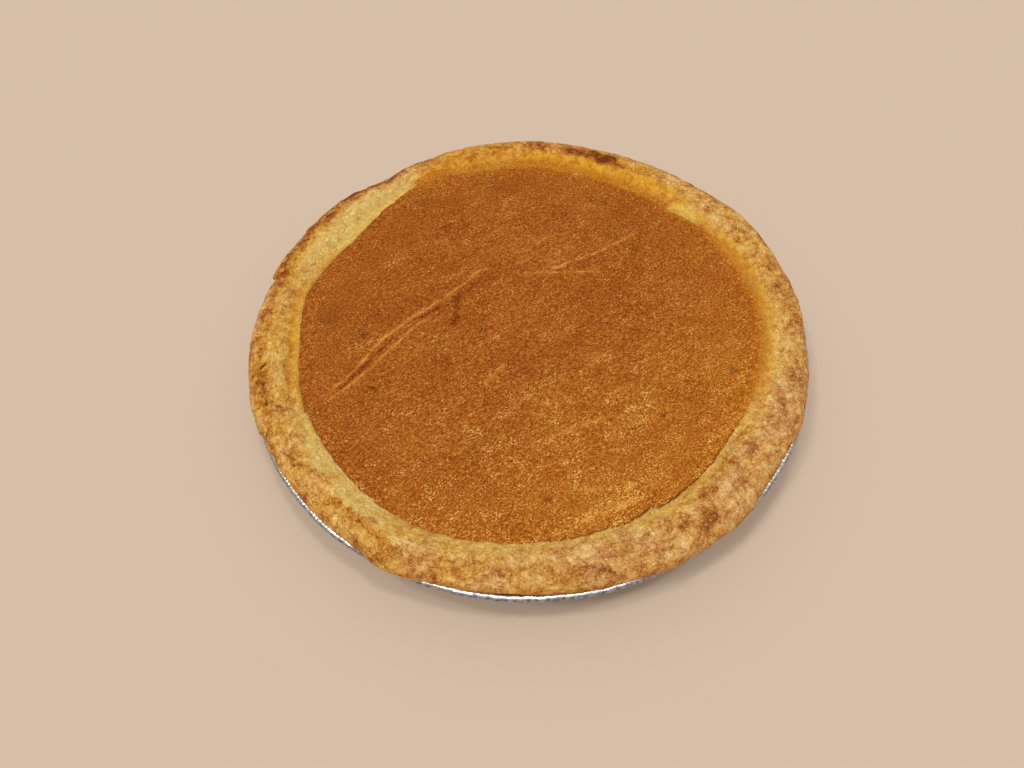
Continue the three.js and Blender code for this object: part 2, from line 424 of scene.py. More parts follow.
# The pastry case.
def slope_height(angle, share, top):
    """Height of the rim's inner slope at a share of the way from the filling to the crest."""
    steep = np.sqrt(np.clip(1 - (1 - share) ** 2, 0, 1))
    gentle = share * (2 - share) * (0.25 + 0.75 * share)
    soft = np.clip(swells(SOFT_FEET, angle), 0, 1)
    return FILLING_FOOT + (top - FILLING_FOOT) * (steep + soft * (gentle - steep))


def rim_lines(angle):
    """Radius and height of the rim's surface at each station, from its foot to the filling."""
    outer, inner, crest, top = (value[:, None] for value in rim_at(angle))
    widest = SEAT + EDGE_HEIGHT
    foot = np.linspace(0, 1, 8)[None, :-1]
    foot_r = outer - EDGE_UNDERCUT * (1 - foot) ** 2
    foot_z = SEAT + EDGE_HEIGHT * foot + 0 * outer
    turn = np.linspace(0, math.pi / 2, 60)[None, :]
    power = 2 / (2.2 - 0.3 * np.sin(np.radians(angle)))[:, None]
    outer_r = crest + (outer - crest) * np.cos(turn) ** power
    outer_z = widest + (top - widest) * np.sin(turn) ** power
    share = np.linspace(1, 0, 60)[None, 1:]
    inner_r = inner + (crest - inner) * share
    inner_z = slope_height(angle[:, None], share, top)
    radius = np.concatenate([foot_r, outer_r, inner_r], axis=1)
    height = np.concatenate([foot_z, outer_z, inner_z], axis=1)
    return even_steps(radius, height, CRUST_STEPS)


def browning(angle, across, place):
    """How far the crust is baked at each place, from about 0 to 1."""
    angle = angle + 2.0 * noise(place, 7, 41)
    across = across + 0.07 * noise(place, 6, 42)
    total = 0.16 * noise(place, 11, 43) + 0.14 * noise(place, 4, 44)
    for at, level, half, depth, strength in BROWNED:
        reach = (apart(angle, at) / half) ** 2 + ((across - level) / depth) ** 2
        total = total + strength * 0.75 * np.exp(-reach ** 1.3)
    return total


def grain_lanes(angle, radius, height):
    """Coordinates in mm that run round the rim and across it, for the crust's grain."""
    rise = np.diff(height, axis=1, prepend=height[:, :1])
    along = np.cumsum(np.hypot(np.diff(radius, axis=1, prepend=radius[:, :1]), rise), axis=1)
    spin = np.radians(angle)[:, None] + 0 * along
    lanes = [GRAIN_RADIUS * np.cos(spin), GRAIN_RADIUS * np.sin(spin), GRAIN_STRETCH * along]
    return np.stack(lanes, axis=-1)


def crust_bands(angles, across, points):
    """Where the dough is pale, stained, and bright yellow with painted light at its lips, 0 to 1.
    """
    waver = 0.13 * noise(points, 6, 52) + 0.05 * noise(points, 2.5, 56)
    pale = band(PALE, angles + 1.5 * noise(points, 6, 51), across + waver)
    waver = 0.06 * noise(points, 5, 54)
    stain = band(STAINED, angles + 1.5 * noise(points, 6, 53), across + waver)
    bright = band(LIT_EDGES, angles, across + 0.02 * noise(points, 4, 55))
    return pale, stain, bright


def flake_relief(grain, smooth, across):
    """Grain and the edges of flakes in mm, weaker on smooth dough and low on the outside."""
    fine = 0.16 * noise(grain, 3.6, 3) + 0.16 * noise(grain, 1.8, 4)
    fine += 0.30 * (step(noise(grain, 6, 5) + 0.2 * noise(grain, 1.6, 7), 0.0, 0.10) - 0.5)
    fine += 0.20 * (step(noise(grain, 3.4, 6) + 0.2 * noise(grain, 1.4, 8), 0.08, 0.18) - 0.5)
    return fine * (1 - 0.75 * smooth) * (0.55 + 0.45 * step(across, 0.05, 0.3))


def lip_relief(angles, across):
    """Thin lips of dough along the filling, each with a furrow behind it, in mm."""
    relief = np.zeros_like(across)
    for place, half, rise, furrow in LIPS:
        beside = np.exp(-((apart(angles, place) / half) ** 6))
        relief += rise * beside * np.exp(-(((across - 0.94) / 0.035) ** 2))
        relief -= furrow * beside * np.exp(-(((across - 0.85) / 0.05) ** 2))
    return relief


def crack_depth(points):
    """How deep the cracks are at each place on the crust, in mm."""
    shift = 0.4 * noise(points, 1.8, 9)
    crack = np.zeros_like(shift)
    for line, half, depth in CRACKS:
        distance = line_distance(points[..., 0] + shift, points[..., 1] - shift, line)[0]
        crack = np.maximum(crack, depth * np.exp(-((distance / half) ** 2)))
    return crack * step(points[..., 2], SEAT, SEAT + 2)


def crust_surface(angle):
    """The rim's surface: points in mm, the grain's coordinates and what the material reads."""
    radius, height = rim_lines(angle)
    outer, inner = rim_at(angle)[:2]
    across = np.clip((outer[:, None] - radius) / (outer - inner)[:, None], 0, 1)
    angles = angle[:, None] + 0 * across
    spin = np.radians(angles)
    points = np.stack([radius * np.cos(spin), radius * np.sin(spin), height], axis=-1)
    grain = grain_lanes(angle, radius, height)
    pale, stain, bright = crust_bands(angles, across, points)
    crack = crack_depth(points)
    climb = np.clip(swells(SKINS, angles), 0, 1)

    relief = 0.40 * noise(points, 24, 1) + 0.26 * noise(points, 9, 2)
    relief += flake_relief(grain, np.maximum(pale, stain), across) + lip_relief(angles, across)
    relief *= step(height, SEAT, SEAT + 1.5)
    relief *= 1 - step(across, 0.96 - 0.18 * climb, 1.0 - 0.06 * climb)
    points += surface_normals(points) * (relief - crack)[..., None]

    masks = {
        "baked": browning(angles, across, points),
        "pale": pale,
        "stain": stain,
        "bright": bright,
        "across": across + FOOT_SHARE * climb,
        "crack": crack,
        "rosy": np.exp(-((apart(angles, ROSY[0]) / ROSY[1]) ** 2)) * (1 - step(across, 0.5, 0.9)),
    }
    return points, grain, masks


def make_crust():
    angle = np.arange(CRUST_STATIONS) * 360 / CRUST_STATIONS
    points, grain, masks = crust_surface(angle)
    radius = np.hypot(points[..., 0], points[..., 1])

    underside = [(BEAD_RADIUS - BEAD_HALF_WIDTH, PASTRY_OUTSIDE)]
    underside += bead_line(PASTRY_OUTSIDE, 2)[1:]
    underside += corner_line(PASTRY_OUTSIDE, 2)
    underside.append(wall_point(PASTRY_OUTSIDE, FLANGE_TOP - FLANGE_BEND))
    underside.append((TIN_RADIUS - FLANGE_WIDTH + FLANGE_BEND, SEAT))
    inside = corner_line(PASTRY_INSIDE, 2)[::-1]
    inner = rim_at(angle)[1]
    neck_r = np.stack([inner, inner + NECK_LEAN], axis=1)
    neck_z = np.repeat([[NECK_TOP, NECK_FOOT]], CRUST_STATIONS, axis=0)

    def whole(line):
        return np.repeat(np.array(line)[None], CRUST_STATIONS, axis=0)

    parts_r = [whole(underside)[..., 0], radius, neck_r, whole(inside)[..., 0]]
    parts_z = [whole(underside)[..., 1], points[..., 2], neck_z, whole(inside)[..., 1]]
    full_r = np.concatenate(parts_r, axis=1)
    full_z = np.concatenate(parts_z, axis=1)
    vertices = turned_vertices(full_r, full_z, angle[:, None], PASTRY_OUTSIDE, PASTRY_INSIDE)
    faces = turned_faces(CRUST_STATIONS, full_r.shape[1])
    piece = new_piece("crust_baked", vertices, faces, "crust")
    piece.data.materials.append(pastry_material())

    hidden = ((0, 0), (len(underside), len(inside) + 2))
    for name, values in masks.items():
        paint(piece, name, np.append(np.pad(values, hidden, mode="edge"), [0, 0]))
    lanes = np.pad(grain, (*hidden, (0, 0)), mode="edge").reshape(-1, 3)
    lanes = np.vstack([lanes, np.zeros((2, 3))]) * MM
    layer = piece.data.attributes.new("grain", "FLOAT_VECTOR", "POINT")
    layer.data.foreach_set("vector", lanes.astype(np.float32).ravel())


# The filling.
def disc_grid(cells):
    """A square grid mapped evenly onto a unit disc: angle in degrees and radius share."""
    side = np.linspace(-1, 1, cells + 1)
    a, b = np.meshgrid(side, side, indexing="ij")
    wide = np.abs(a) > np.abs(b)
    safe_a = np.where(a == 0, 1, a)
    safe_b = np.where(b == 0, 1, b)
    radius = np.where(wide, a, b)
    turn = np.where(wide, 45 * b / safe_a, 90 - 45 * a / safe_b)
    turn = np.where(radius < 0, turn + 180, turn)
    return turn % 360, np.abs(radius)


def edge_ring(cells):
    """Indices of the square grid's border, in order round the disc."""
    n = cells + 1
    index = np.arange(n * n).reshape(n, n)
    return np.concatenate([index[-1, :-1], index[:0:-1, -1], index[0, :0:-1], index[:-1, 0]])


class FillingTop:
    """The filling's top in mm: where its points are, and what its material reads there."""

    def __init__(self):
        self.angle, self.share = disc_grid(FILLING_CELLS)
        _, self.inner, self.crest, self.rim_top = rim_at(self.angle)
        self.climb = np.clip(swells(SKINS, self.angle), 0, 1)
        reach = self.inner + FILLING_TUCK + SKIN_CLIMB * self.climb
        self.radius = self.share * reach
        self.to_edge = reach - self.radius
        self.x = self.radius * np.cos(np.radians(self.angle))
        self.y = self.radius * np.sin(np.radians(self.angle))
        self.flat = np.stack([self.x, self.y, 0 * self.x], axis=-1)
        lean = math.radians(STREAK_LEAN)
        along = self.x * math.cos(lean) + self.y * math.sin(lean)
        beside = self.y * math.cos(lean) - self.x * math.sin(lean)
        self.swept = np.stack([along / 3.5, beside, 0 * along], axis=-1)
        self.streak = self.streaks()
        self.pits = step(noise(self.flat, 2.6, 27), 0.52, 0.8)
        self.seam = np.clip(swells(SEAMS, self.angle), 0, 1)
        self.points = np.stack([self.x, self.y, self.height()], axis=-1).reshape(-1, 3)

    def streaks(self):
        x = self.x + 0.5 * noise(self.flat, 6, 28)
        y = self.y + 0.5 * noise(self.flat, 6, 29)
        ripple = 0.75 + 0.6 * noise(self.flat, 4, 25)
        streak = np.zeros_like(x)
        for points, half, rise in STREAKS:
            distance, along = line_distance(x, y, points)
            ends = step(along, 0, 0.12) * step(1 - along, 0, 0.2)
            streak += rise * ends * ripple * np.exp(-((distance / half) ** 2))
        return streak

    def height(self):
        """Sag, grain and streaks, the groove and seams at the edge, and the skin on the dough."""
        z = FILLING_LEVEL - FILLING_SAG * (1 - self.share ** 4)
        z += 0.16 * noise(self.swept, 12, 21) + 0.07 * noise(self.swept, 3.5, 22)
        z += 0.04 * noise(self.swept, 1.8, 26)
        z += 0.12 * noise(self.flat, 11, 23) + 0.05 * noise(self.flat, 3.0, 24)
        z += self.streak - 0.14 * self.pits
        z -= 0.20 * np.exp(-((self.to_edge / 0.8) ** 2)) * (1 - self.climb)
        z -= 1.3 * np.exp(-((self.to_edge / 1.1) ** 2)) * self.seam
        share = np.clip((self.radius - self.inner) / (self.crest - self.inner), 0, 1)
        dough = slope_height(self.angle, share, self.rim_top)
        skin = dough + 0.10 * (1 - np.exp(-self.to_edge / 0.5)) - 0.05
        on_dough = (self.radius > self.inner - 3) & (self.climb > 0.02)
        return np.where(on_dough, z + self.climb * np.clip(skin - z, 0, 9), z)

    def spots(self):
        x = self.x + 0.7 * noise(self.flat, 2.2, 61)
        y = self.y + 0.7 * noise(self.flat, 2.2, 62)
        spots = np.zeros_like(x)
        for px, py, size, strength in SPOTS:
            reach = ((x - px) ** 2 + (y - py) ** 2) / size ** 2
            spots = np.maximum(spots, strength * np.exp(-reach ** 1.4))
        return spots

    def golden(self):
        """Where the filling is lighter and more golden, towards the near side and the right."""
        near = step(0.45 * self.x - 0.9 * self.y + 6 * noise(self.flat, 20, 63), 10, 95)
        return near + 0.5 * step(self.x + 5 * noise(self.flat, 16, 64), 45, 95)

    def sheen(self):
        """How many painted glints the filling gets, from 0 to about 2."""
        near = step(-self.y + 0.4 * self.x + 14 * noise(self.swept, 9, 65), -20, 80)
        sheen = np.clip(0.35 + 0.65 * near + 0.5 * noise(self.swept, 7, 66), 0, 1.2)
        for px, py, size, strength in GLINTS:
            reach = ((self.x - px) ** 2 + (self.y - py) ** 2) / size ** 2
            sheen += strength * np.exp(-reach)
        return sheen

    def skin(self):
        """How thin and pale the filling is along its edge, 0 to 1."""
        wander = 1.2 * noise(self.flat, 7, 67) + 0.8 * noise(self.flat, 2.5, 68)
        thin = step(wander - self.to_edge, -6.5, -0.5)
        thin = np.maximum(thin, 0.42 * np.exp(-((self.to_edge / 12) ** 2)))
        right = 0.5 * np.exp(-((self.to_edge / 3.0) ** 2)) * step(self.x, 0, 60)
        return self.climb * thin + right

    def masks(self):
        return {
            "spot": self.spots(),
            "streak": self.streak,
            "seam": np.exp(-((self.to_edge / 1.3) ** 4)) * self.seam,
            "golden": self.golden(),
            "sheen": self.sheen(),
            "skin": self.skin(),
            "pit_shade": self.pits,
        }


def close_filling(top):
    """Vertices and faces of a solid under the points of the filling's top."""
    n = FILLING_CELLS + 1
    index = np.arange(n * n).reshape(n, n)
    quads = [index[:-1, :-1], index[1:, :-1], index[1:, 1:], index[:-1, 1:]]
    faces = np.stack(quads, axis=-1).reshape(-1, 4).tolist()
    last = edge_ring(FILLING_CELLS)
    spin = np.arctan2(top[last, 1], top[last, 0])
    side = [(rim_at(np.degrees(spin))[1] + FILLING_LEAN, NECK_FOOT)]
    side += corner_line(PASTRY_INSIDE + GAP, 3)[::-1]
    rings = [top]
    base = len(top)
    for radius, height in side:
        ring = [radius * np.cos(spin), radius * np.sin(spin), height + 0 * spin]
        rings.append(np.stack(ring, axis=-1))
        here = base + np.arange(len(spin))
        faces += np.stack([last, here, np.roll(here, -1), np.roll(last, -1)], axis=-1).tolist()
        last = here
        base += len(spin)
    rings.append(np.array([[0, 0, PASTRY_INSIDE + GAP]]))
    faces += [(base, b, a) for a, b in zip(last.tolist(), np.roll(last, -1).tolist())]
    return np.vstack(rings), faces


def make_filling():
    top = FillingTop()
    vertices, faces = close_filling(top.points)
    piece = new_piece("filling_set", vertices, faces, "filling")
    piece.data.materials.append(filling_material())
    hidden = np.zeros(len(vertices) - len(top.points))
    for name, values in top.masks().items():
        paint(piece, name, np.append(values, hidden))


# The tin.
def pleat_wave(angle):
    """Folds in the foil at uneven places and of uneven depth, from -1 to 1."""
    places = np.arange(PLEATS + 1) * 360 / PLEATS
    rng = np.random.default_rng(5)
    places[1:-1] += rng.uniform(-0.35, 0.35, PLEATS - 1) * 360 / PLEATS
    depth = rng.uniform(0.35, 1.0, PLEATS)
    fold = np.searchsorted(places, angle, side="right") - 1
    fold = np.clip(fold, 0, PLEATS - 1)
    share = (angle - places[fold]) / (places[fold + 1] - places[fold])
    ends = np.minimum(1, 8 * np.minimum(share, 1 - share))
    return depth[fold] * (np.abs(np.sin(math.pi * share)) ** 0.7 * 2 - 1) * ends


def flange_line(start, end, height):
    """Points along the flange, which dips beside its rolled edge."""
    line = []
    for radius in np.linspace(start, end, 14):
        beside = (radius - ROLL_INSIDE) / TROUGH_HALF_WIDTH
        line.append((radius, height - TROUGH_DEPTH * math.exp(-(beside ** 2))))
    return line


def tin_line():
    """Section of the tin's pan: the underside outwards, then the inside back to the middle."""
    below = FLANGE_TOP - FOIL
    start = TIN_RADIUS - FLANGE_WIDTH + FLANGE_BEND
    end = ROLL_INSIDE + 0.6
    foot = CORNER_RADIUS * 0.5
    line = [(BASE_FLAT_RADIUS, 0)] + bead_line(0, 8) + corner_line(0, 8)
    line += [wall_point(0, z) for z in np.linspace(foot, below - FLANGE_BEND, 18)[1:]]
    line += flange_line(start, end, below)
    line += flange_line(end, start - FOIL, FLANGE_TOP)
    line += [wall_point(FOIL, z) for z in np.linspace(FLANGE_TOP - FLANGE_BEND, foot, 10)[:-1]]
    line += corner_line(FOIL, 4)[::-1] + bead_line(FOIL, 6)[::-1] + [(BASE_FLAT_RADIUS, FOIL)]
    return np.array(line, dtype=float)


def make_tin(foil):
    angle = np.arange(TIN_STATIONS) * 360 / TIN_STATIONS
    line = np.repeat(tin_line()[None], TIN_STATIONS, axis=0)
    radius, height = line[..., 0], line[..., 1]
    fold = pleat_wave(angle)[:, None]
    start = TIN_RADIUS - FLANGE_WIDTH + FLANGE_BEND
    on_flange = step(radius, start - 1, start + 2)
    pressed = swells(TIN_SWELLS, angle)[:, None] * step(radius, start - 2, TIN_RADIUS)
    folded = fold * PLEAT_DEPTH * step(height, 3, 26) * (1 - on_flange)
    height = height - np.abs(fold) * on_flange * PLEAT_PRESS
    radius = radius + folded + pressed
    vertices = turned_vertices(radius, height, angle[:, None], 0, FOIL)
    faces = turned_faces(TIN_STATIONS, radius.shape[1])
    piece = new_piece("tin_pan", vertices, faces, "foil_tin")
    piece.data.materials.append(foil)


def make_tin_edge(foil):
    """The edge of the foil rolled into a tube, crimped all the way round."""
    angle = np.arange(EDGE_STATIONS) * 360 / EDGE_STATIONS
    spin = np.radians(angle)
    turn = np.arange(ROLL_SIDES) * 2 * math.pi / ROLL_SIDES
    flat = np.stack([TIN_RADIUS * np.cos(spin), TIN_RADIUS * np.sin(spin), 0 * spin], axis=-1)
    crimp = np.cos(spin * ROLL_CRIMPS + 2.2 * noise(flat, 9, 31))
    crimp *= 0.5 + 0.8 * np.abs(noise(flat, 30, 35))
    size = ROLL_RADIUS * (1 + 0.03 * crimp + 0.05 * noise(flat, 4, 32))
    wobble = 0.15 * noise(flat, 14, 33) + 0.22 * noise(flat, 3.5, 36) + swells(TIN_SWELLS, angle)
    lift = 0.14 * noise(flat, 5, 34)
    radius = (TIN_RADIUS - ROLL_RADIUS + wobble)[:, None] + size[:, None] * np.cos(turn)
    height = (FLANGE_TOP - ROLL_RADIUS + lift)[:, None] + size[:, None] * np.sin(turn)
    x = radius * np.cos(spin)[:, None]
    y = radius * np.sin(spin)[:, None]
    vertices = np.stack([x, y, height], axis=-1).reshape(-1, 3)
    index = np.arange(EDGE_STATIONS * ROLL_SIDES).reshape(EDGE_STATIONS, ROLL_SIDES)
    after = np.roll(index, -1, axis=0)
    quads = [index, after, np.roll(after, -1, axis=1), np.roll(index, -1, axis=1)]
    faces = np.stack(quads, axis=-1).reshape(-1, 4).tolist()
    piece = new_piece("tin_edge", vertices, faces, "foil_tin")
    piece.data.materials.append(foil)


# Materials.
def srgb(red, green, blue):
    """A colour as a screen shows it, 0 to 255, in Blender's linear values."""
    def linear(value):
        value /= 255
        return value / 12.92 if value <= 0.04045 else ((value + 0.055) / 1.055) ** 2.4

    return linear(red), linear(green), linear(blue), 1.0


class Shader:
    """A material's nodes, added one call at a time. Sizes are in mm."""

    def __init__(self, name):
        self.material = bpy.data.materials.new(name)
        self.material.use_nodes = True
        self.tree = self.material.node_tree
        self.surface = self.tree.nodes["Principled BSDF"]
        self.place = self.tree.nodes.new("ShaderNodeTexCoord").outputs["Object"]

    def add(self, kind, inputs, **settings):
        node = self.tree.nodes.new(kind)
        for name, value in settings.items():
            setattr(node, name, value)
        for name, value in inputs.items():
            self.put(node.inputs[name], value)
        return node

    def put(self, socket, value):
        if isinstance(value, bpy.types.NodeSocket):
            self.tree.links.new(value, socket)
        else:
            socket.default_value = value

    def noise(self, size, detail=2.0, roughness=0.5, place=None, swirl=0.0):
        inputs = {
            "Vector": place or self.place,
            "Scale": 1 / (size * MM),
            "Detail": detail,
            "Roughness": roughness,
            "Distortion": swirl,
        }
        return self.add("ShaderNodeTexNoise", inputs).outputs["Fac"]

    def warped(self, place, size, reach):
        """A place moved about by noise, as far as a reach in mm."""
        inputs = {"Vector": place, "Scale": 1 / (size * MM), "Detail": 2.0}
        drift = self.add("ShaderNodeTexNoise", inputs).outputs["Color"]
        inputs = {0: drift, 1: (2 * reach * MM,) * 3, 2: place}
        return self.add("ShaderNodeVectorMath", inputs, operation="MULTIPLY_ADD").outputs["Vector"]

    def flakes(self, size, place):
        """Ragged patches: a number for each, and the distance to its edge in patch sizes."""
        kind = "ShaderNodeTexVoronoi"
        inputs = {"Vector": place, "Scale": 1 / (size * MM)}
        own = self.add(kind, inputs, feature="F1").outputs["Color"]
        return own, self.add(kind, inputs, feature="DISTANCE_TO_EDGE").outputs["Distance"]

    def swept(self, stretch):
        """Coordinates drawn out along the way that the spatula went."""
        lean = (0, 0, math.radians(STREAK_LEAN))
        inputs = {"Vector": self.place, "Rotation": lean, "Scale": (stretch, 1, 1)}
        return self.add("ShaderNodeMapping", inputs, vector_type="TEXTURE").outputs["Vector"]

    def painted(self, name):
        return self.add("ShaderNodeAttribute", {}, attribute_name=name).outputs["Fac"]

    def between(self, value, low, high, start=0.0, end=1.0):
        inputs = {"Value": value, "From Min": low, "From Max": high, "To Min": start, "To Max": end}
        node = self.add("ShaderNodeMapRange", inputs, interpolation_type="SMOOTHSTEP")
        return node.outputs["Result"]

    def peak(self, value, low, top, high):
        """1 where a value is at the top, 0 below low and above high."""
        return self.math("SUBTRACT", self.between(value, low, top), self.between(value, top, high))

    def math(self, operation, a, b):
        node = self.add("ShaderNodeMath", {0: a, 1: b}, operation=operation)
        return node.outputs["Value"]

    def mix(self, factor, a, b, blend="MIX"):
        inputs = {0: factor, 6: a, 7: b}
        node = self.add("ShaderNodeMix", inputs, data_type="RGBA", blend_type=blend)
        return node.outputs[2]

    def ramp(self, value, stops):
        node = self.add("ShaderNodeValToRGB", {"Fac": value})
        elements = node.color_ramp.elements
        while len(elements) < len(stops):
            elements.new(0.5)
        for element, (position, colour) in zip(elements, stops):
            element.position = position
            element.color = colour
        return node.outputs["Color"]

    def sum(self, *terms):
        total = terms[0]
        for term in terms[1:]:
            total = self.math("ADD", total, term)
        return total

    def times(self, value, factor):
        return self.math("MULTIPLY", value, factor)

    def bump(self, height, depth):
        inputs = {"Height": height, "Distance": depth * MM}
        return self.add("ShaderNodeBump", inputs).outputs["Normal"]


def crust_texture(s):
    """The noises, creases and flakes that the crust's tone, colours and relief share, with lines of
    painted highlight and painted shade along flake edges and creases.
    """
    grain = s.add("ShaderNodeAttribute", {}, attribute_name="grain").outputs["Vector"]
    ragged = s.warped(s.warped(grain, 3.5, 2.2), 1.0, 0.7)
    t = SimpleNamespace()
    t.flecks = s.noise(1.3, 3, 0.6, grain, 0.8)
    t.mottle = s.noise(4.2, 4, 0.6, grain, 0.5)
    t.crumb = s.noise(0.75, 2, 0.8, grain)
    t.broad = s.noise(5.5, 3, 0.55, grain, 1.4)
    t.layers = s.noise(2.6, 3, 0.6, grain, 1.2)
    t.drift = s.noise(14, 2)
    t.own, edge = s.flakes(3.4, ragged)
    t.small_own, small_edge = s.flakes(1.6, ragged)
    # Flake rims and the shade lines beside flake edges and in creases are painted darker as shade;
    # the lit lines are painted lighter as highlight.
    t.rims = s.sum(s.between(edge, 0.14, 0.02), s.times(s.between(small_edge, 0.16, 0.02), 0.5))
    t.lit = s.peak(t.layers, 0.48, 0.53, 0.61)
    t.shade = s.peak(t.layers, 0.39, 0.45, 0.50)
    t.crease = s.peak(t.broad, 0.445, 0.475, 0.505)
    return t


def crust_tone(s, t):
    """How dark the crust is baked, 0 to 1, with painted shade on flake rims, beside flake edges and
    in creases, and painted highlight on flake edges.
    """
    return s.sum(
        s.times(s.painted("baked"), 0.74),
        s.times(s.between(t.flecks, 0.38, 0.62), 0.12),
        s.times(s.between(t.mottle, 0.36, 0.64), 0.22),
        s.times(s.between(t.broad, 0.47, 0.53), 0.14),
        s.times(s.between(t.layers, 0.47, 0.53), 0.10),
        s.times(s.between(s.painted("across"), 0.40, 0.0), 0.12),
        s.times(t.own, 0.22),
        s.times(t.small_own, 0.14),
        s.times(t.rims, 0.12),
        s.times(t.crumb, 0.42),
        s.times(t.shade, 0.16),
        s.times(t.crease, 0.16),
        s.times(t.lit, -0.18),
        -0.45,
    )


def baked_colour(s, t):
    """Golden to burnt brown, rosier in places."""
    tone = crust_tone(s, t)
    golden = s.ramp(tone, [
        (0.00, srgb(252, 212, 124)), (0.20, srgb(240, 186, 88)), (0.45, srgb(220, 154, 60)),
        (0.68, srgb(182, 107, 34)), (0.86, srgb(146, 75, 24)), (1.0, srgb(118, 55, 22)),
    ])
    rosy = s.ramp(tone, [
        (0.00, srgb(250, 208, 144)), (0.20, srgb(236, 182, 112)), (0.45, srgb(212, 148, 84)),
        (0.68, srgb(176, 107, 54)), (0.86, srgb(144, 78, 36)), (1.0, srgb(118, 57, 24)),
    ])
    drift = s.between(t.drift, 0.42, 0.62, -0.1, 0.4)
    blush = s.sum(s.times(s.painted("rosy"), 0.7), drift, s.times(t.flecks, 0.2))
    return s.mix(blush, golden, rosy)


def pale_colour(s, t):
    """Cream dough with a few darker crumbs, greener in places, with painted shade beside flake
    edges.
    """
    cream = s.mix(s.between(t.layers, 0.42, 0.58), srgb(255, 231, 146), srgb(249, 200, 102))
    green = s.between(t.drift, 0.45, 0.6)
    cream = s.mix(s.times(green, 0.14), cream, srgb(232, 204, 122))
    # Painted shade beside flake edges.
    cream = s.mix(s.times(t.shade, 0.30), cream, srgb(204, 148, 66))
    return s.mix(s.times(s.between(t.crumb, 0.5, 0.75), 0.2), cream, srgb(212, 158, 76))


def stained_colour(s, t):
    """Yolk yellow, rustier right beside the filling."""
    yolk = s.mix(s.between(t.mottle, 0.40, 0.62), srgb(254, 188, 54), srgb(222, 140, 38))
    yolk = s.mix(s.times(s.between(t.crumb, 0.40, 0.70), 0.45), yolk, srgb(200, 118, 24))
    rust = s.mix(s.between(t.crumb, 0.38, 0.62), srgb(188, 106, 22), srgb(228, 150, 38))
    ragged = s.sum(s.painted("across"), s.times(t.flecks, 0.14), s.times(t.crumb, 0.14))
    return s.mix(s.between(ragged, 0.98, 1.16), yolk, rust)


def pastry_material():
    s = Shader("baked_pastry")
    t = crust_texture(s)
    pale = s.times(s.painted("pale"), s.between(t.mottle, 0.7, 0.35, 0.45, 0.95))
    colour = s.mix(pale, baked_colour(s, t), pale_colour(s, t))
    baked = s.sum(s.painted("baked"), s.times(t.flecks, 0.3))
    unburnt = s.between(baked, 0.40, 0.75, 1.0, 0.12)
    stain = s.times(s.painted("stain"), s.between(t.flecks, 0.72, 0.34, 0.72, 1.0))
    colour = s.mix(s.times(stain, unburnt), colour, stained_colour(s, t))
    # The dough's yellow lips, painted lighter than the dough as light on their shaded wall.
    lit_lip = s.mix(s.between(t.crumb, 0.35, 0.65), srgb(255, 220, 110), srgb(236, 182, 70))
    colour = s.mix(s.times(s.painted("bright"), 0.85), colour, lit_lip)
    # Cracks are painted dark brown, as shade inside them.
    crack = s.between(s.painted("crack"), 0.1, 0.7)
    colour = s.mix(s.times(crack, 0.9), colour, srgb(96, 52, 18))
    s.put(s.surface.inputs["Base Color"], colour)
    s.put(s.surface.inputs["Roughness"], s.between(t.flecks, 0.3, 0.7, 0.60, 0.75))
    s.surface.inputs["Specular IOR Level"].default_value = 0.05
    steps = s.times(s.between(t.layers, 0.46, 0.51), 0.4)
    terraces = s.sum(steps, s.times(t.rims, -0.25), s.times(t.own, 0.3))
    height = s.sum(t.flecks, s.times(t.crumb, 0.5), terraces)
    s.put(s.surface.inputs["Normal"], s.bump(height, 0.45))
    return s.material


